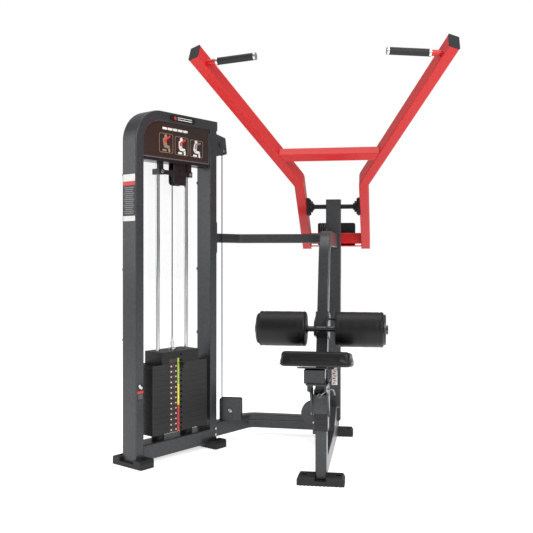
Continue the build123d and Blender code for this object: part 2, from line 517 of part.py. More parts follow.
def build_thigh_pads():
    inner_wide, inner_deep = POST_WIDE + 2 * GAP, POST_DEEP + 2 * GAP
    half, sleeve_z = 55, 690
    sleeve = rounded(-SLEEVE_WIDE / 2, SLEEVE_WIDE / 2, -SLEEVE_DEEP / 2, SLEEVE_DEEP / 2, -half, half, 6)
    sleeve -= block(-inner_wide / 2, inner_wide / 2, -inner_deep / 2, inner_deep / 2, -half - 1, half + 1)
    sleeve = lean_place(sleeve, sleeve_z)
    save("thigh_carriage", sleeve)
    cheek_outline = [(50, 640), (66, 735), (-12, 715), (-26, 684), (-12, 655)]
    plates = []
    for x in (-31, 23):
        plane = Plane((x, 0, 0), x_dir=(0, 1, 0), z_dir=(1, 0, 0))
        plate = extrude(plane * make_face(Polyline(*cheek_outline, close=True)), 8)
        sleeve_space = lean_place(block(-80, 80, -SLEEVE_DEEP / 2 - GAP, SLEEVE_DEEP, -200, 200), sleeve_z)
        plate -= sleeve_space
        plate -= rod(ROLLER_SHAFT / 2 - 0.02, (-90, 0, ROLLER_Z), (90, 0, ROLLER_Z))
        plates.append(plate)
    save("thigh_carriage", Compound(plates))
    tube_end = ROLLER_OUT + 8
    shaft = rod(ROLLER_SHAFT / 2 - 0.05, (-tube_end, 0, ROLLER_Z), (tube_end, 0, ROLLER_Z))
    for side in (-1, 1):
        shaft += rod(17, (side * (ROLLER_IN - 7), 0, ROLLER_Z), (side * (ROLLER_IN - 1), 0, ROLLER_Z))
    save("roller_shaft", shaft)
    for name, side in (("left", -1), ("right", 1)):
        body = rod(ROLLER_DIA / 2, (side * ROLLER_IN, 0, ROLLER_Z), (side * (ROLLER_OUT - 6), 0, ROLLER_Z))
        body = fillet(body.edges(), 12)
        body -= rod(ROLLER_SHAFT / 2 + 0.05, (side * 20, 0, ROLLER_Z), (side * 400, 0, ROLLER_Z))
        save(f"{name}_roller", body)
        ring_in, ring_out = side * (ROLLER_OUT - 5.7), side * ROLLER_OUT
        ring = rod(62, (ring_in, 0, ROLLER_Z), (ring_out, 0, ROLLER_Z))
        ring = fillet(ring.edges(), 2)
        ring -= rod(46, (ring_in + side * 2, 0, ROLLER_Z), (ring_out + side, 0, ROLLER_Z))
        ring -= rod(ROLLER_SHAFT / 2 + 0.05, (side * 20, 0, ROLLER_Z), (side * 400, 0, ROLLER_Z))
        save(f"{name}_roller", ring)
    hub = []
    for side in (-1, 1):
        cap = rod(20, (side * (ROLLER_OUT + 0.5), 0, ROLLER_Z), (side * (ROLLER_OUT + 9), 0, ROLLER_Z))
        cap -= rod(ROLLER_SHAFT / 2 - 0.02, (side * 20, 0, ROLLER_Z), (side * (tube_end + 0.02), 0, ROLLER_Z))
        hub.append(cap)
    save("roller_shaft", Compound(hub))
    pin_x = SLEEVE_WIDE / 2 + GAP
    pin = rod(5, (pin_x, 0, 0), (pin_x + 16, 0, 0)) + rod(12, (pin_x + 16, 0, 0), (pin_x + 34, 0, 0))
    save("thigh_pop_pin", lean_place(Pos(0, 18, 34) * pin, sleeve_z))


def arm_tube(side):
    lean = math.atan2(ARM_TOP_HALF - ARM_LOW_HALF, -ARM_BEND)
    inset = ARM_WIDE / 2
    top = (side * (ARM_TOP_HALF - inset * math.cos(lean)), inset * math.sin(lean), -ARM_DEEP / 2)
    low_x = side * (ARM_LOW_HALF - inset)
    bend = (low_x, ARM_BEND + inset * math.tan(lean / 2), -ARM_DEEP / 2)
    low = (low_x, ARM_LONG, -ARM_DEEP / 2)
    return tube(ARM_WIDE, ARM_DEEP, [low, bend, top], [60]), top, lean


def build_lever():
    caps = []
    for name, side in (("left", -1), ("right", 1)):
        body, top, lean = arm_tube(side)
        placed = arm(body)
        placed -= rod(AXLE_DIA / 2 + 3, (side * 100, AXLE_Y, AXLE_Z), (side * 220, AXLE_Y, AXLE_Z))
        save(f"{name}_lever_arm", placed)
        direction = (side * math.sin(lean), math.cos(lean), 0)
        plane = Plane(top, x_dir=(math.cos(lean), -side * math.sin(lean), 0), z_dir=direction)
        cap = extrude(plane.offset(0.1) * RectangleRounded(ARM_WIDE + 1, ARM_DEEP + 1, CORNER), 5)
        caps.append(arm(cap))
        build_handle(name, side, top, lean)
    save("arm_end_caps", Compound(caps))
    low_caps = []
    for side in (-1, 1):
        x = side * (ARM_LOW_HALF - ARM_WIDE / 2)
        half_w, half_d = ARM_WIDE / 2, ARM_DEEP / 2
        low_caps.append(arm(block(x - half_w, x + half_w, ARM_LONG - 3.1, ARM_LONG - 0.1, -half_d * 2, 0)))
    save("arm_end_caps", Compound(low_caps))
    build_crossbars()


def arm_space(side, top, lean):
    """The solid space that the upper run of one arm fills, with its clearance."""
    direction = (side * math.sin(lean), math.cos(lean), 0)
    plane = Plane(top, x_dir=(math.cos(lean), -side * math.sin(lean), 0), z_dir=direction)
    section = plane * Rectangle(ARM_WIDE + 0.2, ARM_DEEP + 0.2)
    return arm(extrude(section, -300))


def build_handle(name, side, top, lean):
    start_local = Vector(top[0], top[1] - 62, -ARM_DEEP / 2)
    start = arm(Pos(*start_local)).position
    tilt = math.radians(14)
    aim = Vector(-side * math.cos(tilt), -math.sin(tilt), 0.02)
    slot = ARM_WIDE / 2 / math.cos(lean) + 3.5
    begin = start + aim * slot
    stub_end = begin + aim * 66
    stub = rod(13.5, begin - aim * 8, stub_end) - arm_space(side, top, lean)
    save("handle_stubs", stub)
    collar_end = stub_end + aim * 10
    grip_end = collar_end + aim * 176
    collar = rod(17.5, (stub_end + aim * 0.1), (collar_end - aim * 0.1))
    ring = rod(17, (grip_end + aim * 0.1), (grip_end + aim * 9))
    save("handle_rings", Compound([collar, ring]))
    grip = rod(16.5, collar_end, grip_end)
    save(f"{name}_grip", grip)


def build_crossbars():
    mid_y = (CROSS_HIGH + CROSS_LOW) / 2
    lean = math.atan2(ARM_TOP_HALF - ARM_LOW_HALF, -ARM_BEND)
    outer = ARM_LOW_HALF + (mid_y - ARM_BEND) * math.tan(lean)
    half = outer - ARM_WIDE / math.cos(lean) + (CROSS_HIGH - mid_y) * math.tan(lean)
    bar = tube(CROSS_DEEP, CROSS_HIGH - CROSS_LOW,
               [(-half, mid_y, -CROSS_DEEP / 2), (half, mid_y, -CROSS_DEEP / 2)], None, (0, 0, 1))
    for side in (-1, 1):
        reach = (CROSS_HIGH - mid_y) * math.tan(lean)
        edge = Pos(side * (half - reach - 0.8), mid_y, 0) * Rot(0, 0, -side * math.degrees(lean))
        slab = block(min(0, side * 200), max(0, side * 200), -120, 120, -200, 200)
        bar -= edge * slab
    save("upper_crossbar", arm(bar))
    low_half = ARM_LOW_HALF - ARM_WIDE - GAP
    save("lower_crossbar", tube(50, 62, [(-low_half, 1083, 1111), (low_half, 1083, 1111)], None, (0, 1, 0)))
    save("lower_crossbar", rounded(-low_half, low_half, 1056, 1178, 1064, 1070, 6))
    weight = rounded(-109, 109, 1110, 1170, 1070 + GAP, 1203, 10, Axis.Y)
    save("counterweight", weight)
    x = RIGHT_PULLEY_X + WRAP
    lug = block(x - 12, x + 12, 1062, 1104, 1142.2, LUG_Z - 14) + block(x - 12, x - 7, 1062, 1090, 1160, LUG_Z + 14)
    lug += block(x + 7, x + 12, 1062, 1090, 1160, LUG_Z + 14)
    save("cable_lug", lug - rod(4.98, (x - 20, LUG_Y, LUG_Z), (x + 20, LUG_Y, LUG_Z)))
    pin = rod(4.95, (x - 15, LUG_Y, LUG_Z), (x + 15, LUG_Y, LUG_Z))
    save("cable_lug", pin)
    end = rod(6, (x, LUG_Y - 60 + GAP, LUG_Z), (x, LUG_Y - 8, LUG_Z)) + block(x - 6.7, x + 6.7, LUG_Y - 14, LUG_Y + 9, LUG_Z - 8, LUG_Z + 8)
    save("cable_lug", end - rod(5.0, (x - 20, LUG_Y, LUG_Z), (x + 20, LUG_Y, LUG_Z)))


def build_axle():
    inner = ARM_LOW_HALF - ARM_WIDE
    axle = rod(AXLE_DIA / 2, (-inner - 12, AXLE_Y, AXLE_Z), (inner + 12, AXLE_Y, AXLE_Z))
    save("lever_axle", axle)
    for name, side in (("left", -1), ("right", 1)):
        face = side * (inner - GAP)
        plate = block(min(face, face - side * 12), max(face, face - side * 12),
                      AXLE_Y - 48, AXLE_Y + 48, AXLE_Z - 48, AXLE_Z + 48)
        plate = fillet(plate.edges().filter_by(Axis.X), 16)
        boss = rod(31, (face - side * 12, AXLE_Y, AXLE_Z), (face - side * 30, AXLE_Y, AXLE_Z))
        boss += rod(19, (face - side * 30, AXLE_Y, AXLE_Z), (face - side * 38, AXLE_Y, AXLE_Z))
        housing = plate + boss
        for dy in (-36, 36):
            for dz in (-36, 36):
                at = (face - side * 12, AXLE_Y + dy, AXLE_Z + dz)
                housing += rod(7, at, (face - side * 18, AXLE_Y + dy, AXLE_Z + dz))
        housing -= rod(AXLE_DIA / 2 + 0.05, (-200, AXLE_Y, AXLE_Z), (200, AXLE_Y, AXLE_Z))
        save("lever_bearings", housing)


def build_shield():
    """A clear guard on the far side of the tower, on standoffs from the rear upright."""
    far = -TUBE_WIDE / 2 - 30
    save("clear_shield", tower(block(far, far + 4, 60, 490, 480, 1480)))
    standoffs = []
    for z in (600, 940, 1400):
        for s in (TUBE_THIN / 2, TOWER_SPAN + TUBE_THIN / 2):
            standoffs.append(rod(9, (-TUBE_WIDE / 2 - GAP, s, z), (far + 10, s, z)))
    save("shield_standoffs", tower(Compound(standoffs)))


build_tower_frame()
build_placard()
build_guides()
fitting_top = build_stack()
build_top_pulleys()
build_cables(fitting_top)
build_low_pulleys()
build_column_pulley()
build_links()
build_seat_frame()
build_frame_bolts()
build_seat()
build_seat_lever()
build_thigh_pads()
build_lever()
build_axle()
build_shield()
write_nodes()
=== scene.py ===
import bpy
import math
from mathutils import Matrix, Vector


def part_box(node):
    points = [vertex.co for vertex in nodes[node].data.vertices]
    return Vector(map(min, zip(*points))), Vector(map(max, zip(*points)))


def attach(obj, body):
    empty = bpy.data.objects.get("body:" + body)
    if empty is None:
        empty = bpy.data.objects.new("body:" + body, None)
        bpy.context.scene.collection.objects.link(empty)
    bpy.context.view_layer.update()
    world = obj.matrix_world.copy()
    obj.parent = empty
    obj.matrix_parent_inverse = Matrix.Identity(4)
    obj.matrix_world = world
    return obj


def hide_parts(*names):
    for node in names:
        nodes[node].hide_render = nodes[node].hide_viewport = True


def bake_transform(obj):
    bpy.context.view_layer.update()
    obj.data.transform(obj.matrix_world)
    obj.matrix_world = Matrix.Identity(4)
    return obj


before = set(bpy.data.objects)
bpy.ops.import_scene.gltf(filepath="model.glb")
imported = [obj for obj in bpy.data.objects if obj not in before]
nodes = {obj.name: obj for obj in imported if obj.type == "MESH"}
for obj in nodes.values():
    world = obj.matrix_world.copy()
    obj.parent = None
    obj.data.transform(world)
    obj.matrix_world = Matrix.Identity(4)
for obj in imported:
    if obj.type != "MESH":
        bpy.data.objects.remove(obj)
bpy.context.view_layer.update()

# ---------------------------------------------------------------- frame tubes
# Charcoal powder coat over welded rectangular steel tube: a fine metal fleck,
# a soft orange peel and a gloss that varies a little along each tube.


def linear(hex_value):
    channels = [int(hex_value[i:i + 2], 16) / 255 for i in (1, 3, 5)]
    return [c / 12.92 if c <= 0.04045 else ((c + 0.055) / 1.055) ** 2.4 for c in channels] + [1.0]


def add_node(material, kind, settings=None, links=None):
    """Adds one shader node, sets its sockets or attributes, and links its inputs."""
    node = material.node_tree.nodes.new(kind)
    for key, value in (settings or {}).items():
        if isinstance(key, int) or key in node.inputs:
            node.inputs[key].default_value = value
        else:
            setattr(node, key, value)
    for key, socket in (links or {}).items():
        material.node_tree.links.new(socket, node.inputs[key])
    return node


def new_material(name):
    material = bpy.data.materials.new(name)
    material.use_nodes = True
    shader = material.node_tree.nodes["Principled BSDF"]
    where = add_node(material, "ShaderNodeTexCoord").outputs["Object"]
    return material, shader, where


def colour_ramp(material, factor, low, high):
    """Blends between two tones over the middle of the factor's range."""
    ramp = add_node(material, "ShaderNodeValToRGB", None, {"Fac": factor})
    for stop, position, tone in zip(ramp.color_ramp.elements, (0.3, 0.7), (low, high)):
        stop.position = position
        stop.color = linear(tone)
    return ramp.outputs["Color"]


def coat_material(name, low, high, roughness, peel_mm, peel_depth, metallic=0.0, clear=0.0):
    """A sprayed coat: two close tones, an orange peel of the given size, uneven gloss."""
    material, shader, where = new_material(name)
    links = material.node_tree.links
    fleck_size = 0.012
    fleck = add_node(material, "ShaderNodeTexNoise", {"Scale": 1 / fleck_size, "Detail": 6.0},
                     {"Vector": where})
    links.new(colour_ramp(material, fleck.outputs["Fac"], low, high), shader.inputs["Base Color"])
    gloss = add_node(material, "ShaderNodeTexNoise", {"Scale": 9.0, "Detail": 3.0}, {"Vector": where})
    rough = add_node(material, "ShaderNodeMapRange", {"To Min": roughness * 0.85, "To Max": roughness * 1.15},
                     {"Value": gloss.outputs["Fac"]})
    links.new(rough.outputs["Result"], shader.inputs["Roughness"])
    peel = add_node(material, "ShaderNodeTexNoise", {"Scale": 1000 / peel_mm, "Detail": 2.0},
                    {"Vector": where})
    bump = add_node(material, "ShaderNodeBump", {"Strength": 0.35, "Distance": peel_depth},
                    {"Height": peel.outputs["Fac"]})
    links.new(bump.outputs["Normal"], shader.inputs["Normal"])
    shader.inputs["Metallic"].default_value = metallic
    shader.inputs["Specular IOR Level"].default_value = 0.35
    shader.inputs["Coat Weight"].default_value = clear
    shader.inputs["Coat Roughness"].default_value = 0.12
    return material


def paint(material, *names):
    for name in names:
        for index in range(len(nodes[name].material_slots)):
            nodes[name].material_slots[index].material = material


powder_coat = coat_material("charcoal_powder_coat", "#3A3C3E", "#454749", 0.32, 1.6, 0.0002, 0.45, 0.12)
paint(powder_coat, "tower_front_frame", "tower_rear_upright", "tower_base_beam", "lower_link_beam",
      "upper_link_beam", "front_post", "base_beam", "main_column", "rear_pulley_bracket",
      "left_pulley_box", "right_pulley_housing", "column_pulley_bracket", "seat_bracket", "thigh_carriage")
cast_coat = coat_material("black_bracket_coat", "#161718", "#1E1F20", 0.34, 2.0, 0.0003, 0.2, 0.2)
paint(cast_coat, "seat_carriage", "tower_pulley_cheeks", "rod_crosshead")

# ---------------------------------------------------------------- lever arm
# Red gloss powder coat on the swinging arm, its cross bars, its cable lug and
# the two handle stubs: deep even red with a clear, slightly wavy shine.
red_coat = coat_material("red_gloss_powder_coat", "#BC1516", "#C41A1A", 0.33, 2.2, 0.0002, 0.0, 0.18)
paint(red_coat, "left_lever_arm", "right_lever_arm", "upper_crossbar", "lower_crossbar",
      "handle_stubs", "cable_lug")

# ---------------------------------------------------------------- bearings, axle and counterweight
# Cast flange bearings and a blackened axle: rough sand-cast skin on the housings,
# fine turning marks on the bars, satin paint on the weights, and painted shade in
# the seam with a painted highlight on the top edge of every plate of the stack.


def turned_material(name, low, high, roughness, metallic):
    """Turned or ground bar: fine marks that break up its tone and its shine."""
    material, shader, where = new_material(name)
    links = material.node_tree.links
    mark_size = 0.003
    marks = add_node(material, "ShaderNodeTexNoise", {"Scale": 1 / mark_size, "Detail": 3.0},
                     {"Vector": where})
    links.new(colour_ramp(material, marks.outputs["Fac"], low, high), shader.inputs["Base Color"])
    rough = add_node(material, "ShaderNodeMapRange", {"To Min": roughness * 0.7, "To Max": roughness * 1.4},
                     {"Value": marks.outputs["Fac"]})
    links.new(rough.outputs["Result"], shader.inputs["Roughness"])
    shader.inputs["Metallic"].default_value = metallic
    return material


cast_iron = coat_material("sand_cast_black_iron", "#101111", "#1A1B1B", 0.55, 3.0, 0.0010, 0.2)
paint(cast_iron, "lever_bearings")
black_steel = turned_material("blackened_turned_steel", "#1E1E1E", "#2C2C2C", 0.3, 0.8)
paint(black_steel, "lever_axle", "shield_standoffs")
chrome = turned_material("hard_chrome_plate", "#C9CBCE", "#DADCDE", 0.12, 1.0)
paint(chrome, "guide_rods", "selector_stem", "frame_bolts", "handle_rings")
zinc = turned_material("zinc_plated_steel", "#8E9092", "#A5A7A9", 0.32, 1.0)
paint(zinc, "seat_lever")
shaft_steel = turned_material("dark_ground_shaft_steel", "#4A4B4C", "#5C5D5E", 0.25, 1.0)
paint(shaft_steel, "roller_shaft")
weight_coat = coat_material("satin_black_weight_coat", "#161717", "#1E1F1F", 0.42, 1.2, 0.0002, 0.1)
paint(weight_coat, "counterweight", "head_plate")
plate_coat, plate_shader, plate_where = new_material("satin_black_plate_coat")
apart = add_node(plate_coat, "ShaderNodeSeparateXYZ", None, {"Vector": plate_where})
PITCH, STACK_LOW, PLATE_HIGH = 0.02615, 0.134, 0.0258
up_plate = add_node(plate_coat, "ShaderNodeMath", {"operation": "SUBTRACT", 1: STACK_LOW},
                    {0: apart.outputs["Z"]})
in_pitch = add_node(plate_coat, "ShaderNodeMath", {"operation": "DIVIDE", 1: PITCH},
                    {0: up_plate.outputs["Value"]})
share = add_node(plate_coat, "ShaderNodeMath", {"operation": "FRACT"}, {0: in_pitch.outputs["Value"]})
# Painted shade and highlight: black painted in the gap between plates, and a light grey painted highlight
# along each plate's top edge.
seam_shade_and_highlight_ramp = add_node(plate_coat, "ShaderNodeValToRGB", None, {"Fac": share.outputs["Value"]})
stops = seam_shade_and_highlight_ramp.color_ramp.elements
GAP_SHADE_BLACK = "#020202"
stops[0].color = linear(GAP_SHADE_BLACK)
for position, tone in ((0.05, GAP_SHADE_BLACK), (0.07, "#191A1A"), (0.90, "#1C1D1D"), (0.93, "#3A3B3C")):
    stops.new(position).color = linear(tone)
stops[len(stops) - 1].position = 0.97
stops[len(stops) - 1].color = linear(GAP_SHADE_BLACK)
plate_coat.node_tree.links.new(seam_shade_and_highlight_ramp.outputs["Color"], plate_shader.inputs["Base Color"])
plate_shader.inputs["Roughness"].default_value = 0.38
plate_shader.inputs["Specular IOR Level"].default_value = 0.4
paint(plate_coat, "resting_plates", "lifted_plate")

# ---------------------------------------------------------------- rubber and plastic parts
# Moulded rubber feet, bumpers, tube caps and hand grips, and moulded nylon
# pulleys, knobs and pin: a fine moulding grain and a dull, dusty black.


def moulded_material(name, low, high, roughness, grain_mm, depth):
    material, shader, where = new_material(name)
    links = material.node_tree.links
    dust = add_node(material, "ShaderNodeTexNoise", {"Scale": 14.0, "Detail": 5.0}, {"Vector": where})
    links.new(colour_ramp(material, dust.outputs["Fac"], low, high), shader.inputs["Base Color"])
    grain = add_node(material, "ShaderNodeTexVoronoi", {"Scale": 1000 / grain_mm}, {"Vector": where})
    bump = add_node(material, "ShaderNodeBump", {"Strength": 0.4, "Distance": depth},
                    {"Height": grain.outputs["Distance"]})
    links.new(bump.outputs["Normal"], shader.inputs["Normal"])
    shader.inputs["Roughness"].default_value = roughness
    return material


rubber = moulded_material("moulded_black_rubber", "#0F1010", "#181919", 0.65, 1.5, 0.0003)
paint(rubber, "tower_feet", "front_foot", "rear_foot", "stack_bumpers", "arm_end_caps", "seat_lever_grip")
grip_rubber = moulded_material("textured_grip_rubber", "#0E0E0F", "#171718", 0.6, 3.0, 0.0010)
paint(grip_rubber, "left_grip", "right_grip")
nylon = moulded_material("moulded_black_nylon", "#0D0E0F", "#161718", 0.38, 0.8, 0.0001)
paint(nylon, "tower_pulley", "rear_pulley", "left_pulley", "right_pulley", "column_pulley",
      "selector_pin", "thigh_pop_pin")

# ---------------------------------------------------------------- clear shield
# Clear polycarbonate sheet behind the stack: almost invisible face on, with a
# faint cool tint, held on blackened standoffs.
clear_sheet, clear_shader, clear_where = new_material("clear_polycarbonate")
clear_tint = add_node(clear_sheet, "ShaderNodeTexNoise", {"Scale": 4.0}, {"Vector": clear_where})
clear_sheet.node_tree.links.new(
    colour_ramp(clear_sheet, clear_tint.outputs["Fac"], "#EEF1F3", "#F6F8F9"),
    clear_shader.inputs["Base Color"])
clear_shader.inputs["Alpha"].default_value = 0.07
clear_shader.inputs["Roughness"].default_value = 0.08
paint(clear_sheet, "clear_shield")

# ---------------------------------------------------------------- placard
# Dark brown printed panel between the uprights, with a grey edge at its foot
# and right side, a black lip, tan outlined boxes that hold plain movement
# figures, and a black badge with a red dot stuck on the beam.
TOWER_ORIGIN = Vector((-0.9294, 0.1324, 0.0))
TOWER_TURN = math.radians(-30.9)
PLACARD_FACE = 0.043
SKIN = 0.0006


def only(piece):
    bpy.ops.object.select_all(action="DESELECT")
    piece.select_set(True)
    bpy.context.view_layer.objects.active = piece


def settle(piece, material, body):
    """Applies the place to the mesh, gives the finish and fixes the piece to its body."""
    only(piece)
    bpy.ops.object.transform_apply(location=True, rotation=True, scale=True)
    piece.data.materials.clear()
    piece.data.materials.append(material)
    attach(piece, body)
    return piece


def tower_place(across, along, z):
    """A point of the turned tower: across its width, along its length, and up."""
    return TOWER_ORIGIN + Matrix.Rotation(TOWER_TURN, 3, "Z") @ Vector((across, along, z))


def tower_sheet(face, along, z, wide, high, corner=0.0, thick=SKIN, tilt=0.0):
    """A thin plate on a face of the tower: wide along the tower, high up it."""
    bpy.ops.object.select_all(action="DESELECT")
    centre = tower_place(face + thick / 2, along, z)
    bpy.ops.mesh.primitive_cube_add(size=1, location=centre)
    plate = bpy.context.object
    plate.scale = (thick, wide, high)
    bpy.ops.object.transform_apply(location=False, rotation=False, scale=True)
    if corner:
        bpy.ops.object.mode_set(mode="EDIT")
        bpy.ops.mesh.select_mode(type="EDGE")
        bpy.ops.mesh.select_all(action="DESELECT")
        bpy.ops.object.mode_set(mode="OBJECT")
        for edge in plate.data.edges:
            a, b = (plate.data.vertices[i].co for i in edge.vertices)
            edge.select = abs(a.x - b.x) > thick / 2
        bpy.ops.object.mode_set(mode="EDIT")
        bpy.ops.mesh.bevel(offset=corner, segments=6)
        bpy.ops.object.mode_set(mode="OBJECT")
    plate.rotation_euler = (tilt, 0, 0)
    bpy.ops.object.transform_apply(location=False, rotation=True, scale=False)
    plate.rotation_euler = (0, 0, TOWER_TURN)
    return plate


def tower_disc(face, along, z, radius, thick=SKIN):
    """A thin round spot on a face of the tower."""
    bpy.ops.object.select_all(action="DESELECT")
    bpy.ops.mesh.primitive_cylinder_add(vertices=24, radius=radius, depth=thick,
                                        location=tower_place(face + thick / 2, along, z),
                                        rotation=(math.pi / 2, 0, math.pi / 2 + TOWER_TURN))
    return bpy.context.object


def join(name, pieces):
    """Makes the sheets one piece under one name."""
    only(pieces[0])
    for piece in pieces:
        piece.select_set(True)
    if len(pieces) > 1:
        bpy.ops.object.join()
    bpy.context.object.name = name
    return bpy.context.object


def printed_material(name, tone, shade, roughness=0.4):
    """Screen print on vinyl: flat ink with slight mottling."""
    material, shader, where = new_material(name)
    mottle = add_node(material, "ShaderNodeTexNoise", {"Scale": 60.0, "Detail": 4.0}, {"Vector": where})
    material.node_tree.links.new(colour_ramp(material, mottle.outputs["Fac"], tone, shade),
                                 shader.inputs["Base Color"])
    shader.inputs["Roughness"].default_value = roughness
    return material


brown_print = printed_material("brown_panel_print", "#2A1D19", "#30231E", 0.3)
grey_edge = printed_material("grey_edge_print", "#55575A", "#5E6063")
tan_print = printed_material("tan_outline_print", "#8A7868", "#938171")
white_print = printed_material("white_print", "#D9D7D3", "#E6E4E0")
red_print = printed_material("red_print", "#C8322C", "#D13C35")
black_print = printed_material("black_print", "#0E0E0F", "#161617", 0.25)
paint(brown_print, "placard_panel")


def outline(along, z, wide, high, line=0.0022):
    """A rounded frame: the outer plate with its middle cut away."""
    outer = tower_sheet(PLACARD_FACE, along, z, wide, high, 0.010)
    inner = tower_sheet(PLACARD_FACE - 0.01, along, z, wide - 2 * line, high - 2 * line, 0.008, 0.02)
    cut = outer.modifiers.new("cut", "BOOLEAN")
    cut.object = inner
    cut.solver = "EXACT"
    only(outer)
    bpy.ops.object.modifier_apply(modifier="cut")
    bpy.data.objects.remove(inner)
    return outer


def figure(along, z, lean, body_tone, limb_tone, index):
    """A plain seated figure: head, leaning body, thigh, shin, bench, and a raised arm."""
    body = [tower_disc(PLACARD_FACE, along + 0.002, z + 0.033, 0.0095, SKIN * 2)]
    body.append(tower_sheet(PLACARD_FACE, along - 0.004, z + 0.005, 0.022, 0.040, 0.007, SKIN * 2, lean))
    body.append(tower_sheet(PLACARD_FACE, along + 0.010, z - 0.017, 0.040, 0.014, 0.006, SKIN * 2, -0.1))
    body.append(tower_sheet(PLACARD_FACE, along + 0.025, z - 0.031, 0.012, 0.026, 0.005, SKIN * 2, 0.15))
    body.append(tower_sheet(PLACARD_FACE, along - 0.006, z - 0.036, 0.026, 0.010, 0.003, SKIN * 2))
    settle(join(f"figure_body_{index}", body), body_tone, "frame")
    limb = [tower_sheet(PLACARD_FACE, along + 0.016, z + 0.026, 0.009, 0.038, 0.003, SKIN * 3, lean - 1.1)]
    limb.append(tower_sheet(PLACARD_FACE, along - 0.002, z + 0.008, 0.014, 0.020, 0.004, SKIN * 3, lean))
    settle(join(f"figure_limb_{index}", limb), limb_tone, "frame")


BOX_WIDE = 0.092
FIGURES = ((0.199, 1.566, 0.096, 0.2, tan_print, red_print),
           (0.305, 1.562, 0.092, 0.0, white_print, red_print),
           (0.410, 1.560, 0.088, -0.2, white_print, tan_print))
for index, (along, z, box_high, lean, body_tone, limb_tone) in enumerate(FIGURES):
    ring = outline(along, z, BOX_WIDE, box_high)
    settle(join(f"figure_frame_{index}", [ring]), tan_print, "frame")
    figure(along - 0.005, z, lean, body_tone, limb_tone, index)
heading = [tower_sheet(PLACARD_FACE, 0.190 + 0.035 * i, 1.638, 0.031, 0.012, 0.003) for i in range(5)]
settle(join("placard_heading_bars", heading), white_print, "frame")
rim = [tower_sheet(PLACARD_FACE, 0.278, 1.4905, 0.454, 0.006)]
rim.append(tower_sheet(PLACARD_FACE, 0.503, 1.570, 0.005, 0.160))
settle(join("placard_rim", rim), grey_edge, "frame")
lip = tower_sheet(PLACARD_FACE, 0.278, 1.480, 0.454, 0.013, 0.002, 0.004)
settle(join("placard_black_lip", [lip]), black_print, "frame")
BEAM_FACE = 0.05
BADGE_Z, BADGE_THICK = 1.695, 0.003
badge = tower_sheet(BEAM_FACE, 0.305, BADGE_Z, 0.176, 0.027, 0.0130, BADGE_THICK)
settle(join("beam_badge", [badge]), black_print, "frame")
mark = [tower_disc(BEAM_FACE + BADGE_THICK, 0.252, BADGE_Z, 0.0085)]
settle(join("badge_dot", mark), red_print, "frame")
bars = [tower_sheet(BEAM_FACE + BADGE_THICK, 0.318, BADGE_Z + dz, 0.100, 0.004, 0.0018)
        for dz in (-0.005, 0.005)]
settle(join("badge_bars", bars), white_print, "frame")

# ---------------------------------------------------------------- stack scale
# Printed strips on the face of each plate: a dark band with two rows of plain
# dots, and a green, yellow or red bar that grades the load.
PLATE_FACE, HEAD_FACE = 0.066, 0.065
PLATE_COUNT, RED_PLATES, YELLOW_TOP = 13, 5, 9
BAND_AT, BAND_WIDE, BAR_AT, BAR_WIDE, BAR_HIGH = 0.226, 0.052, 0.260, 0.012, 0.0252
HEAD_BAND_Z = 0.4865
green_print = printed_material("green_print", "#A9C23F", "#B4CC4A")
yellow_print = printed_material("yellow_print", "#E8DC3C", "#F0E548")
band_print = printed_material("brown_band_print", "#33221F", "#3C2A26")
bands, dots = {"frame": [], "stack": []}, {"frame": [], "stack": []}
colour_bars = {"green": [], "yellow": [], "red": []}
for i in range(PLATE_COUNT):
    body = "stack" if i == PLATE_COUNT - 1 else "frame"
    z = STACK_LOW + PITCH * i + PLATE_HIGH / 2
    bands[body].append(tower_sheet(PLATE_FACE, BAND_AT, z, BAND_WIDE, 0.022))
    for along in (0.211, 0.243):
        dots[body].append(tower_disc(PLATE_FACE + SKIN, along, z, 0.0036))
    tone = "red" if i < RED_PLATES else "yellow" if i < YELLOW_TOP else "green"
    if body == "frame":
        colour_bars[tone].append(tower_sheet(PLATE_FACE, BAR_AT, z, BAR_WIDE, BAR_HIGH))
for body in bands:
    settle(join(f"scale_band_{body}", bands[body]), band_print, body)
    settle(join(f"scale_dots_{body}", dots[body]), white_print, body)
tones = {"green": green_print, "yellow": yellow_print, "red": red_print}
for tone, sheets in colour_bars.items():
    settle(join(f"scale_{tone}", sheets), tones[tone], "frame")
lifted_z = STACK_LOW + PITCH * (PLATE_COUNT - 1) + PLATE_HIGH / 2
lifted_bar = tower_sheet(PLATE_FACE, BAR_AT, lifted_z, BAR_WIDE, BAR_HIGH)
settle(join("scale_lifted_bar", [lifted_bar]), green_print, "stack")
head_bar = tower_sheet(HEAD_FACE, BAR_AT, HEAD_BAND_Z, BAR_WIDE, 0.023)
settle(join("scale_head_bar", [head_bar]), green_print, "stack")
head_band = tower_sheet(HEAD_FACE, BAND_AT, HEAD_BAND_Z, BAND_WIDE, 0.021)
settle(join("scale_head_band", [head_band]), band_print, "stack")

# ---------------------------------------------------------------- upright labels
# Printed vinyl labels on the front upright: pale blocks under a navy line, a
# red band and a dark block with plain grey bars, and a small one on the side.
navy_print = printed_material("navy_print", "#23304F", "#2A3858")
grey_print = printed_material("grey_row_print", "#77797C", "#828487")
label_dark = printed_material("dark_label_print", "#1B1D22", "#24262B")


LABEL_WIDE = 0.086


def upright_label(z, high, wide=LABEL_WIDE, proud=0.0):
    """A thin plate on the narrow face of the front upright."""
    bpy.ops.object.select_all(action="DESELECT")
    bpy.ops.mesh.primitive_cube_add(size=1, location=tower_place(0.0, -SKIN / 2 - proud, z))
    plate = bpy.context.object
    plate.scale = (wide, SKIN, high)
    plate.rotation_euler = (0, 0, TOWER_TURN)
    bpy.ops.object.transform_apply(location=False, rotation=False, scale=True)
    return plate


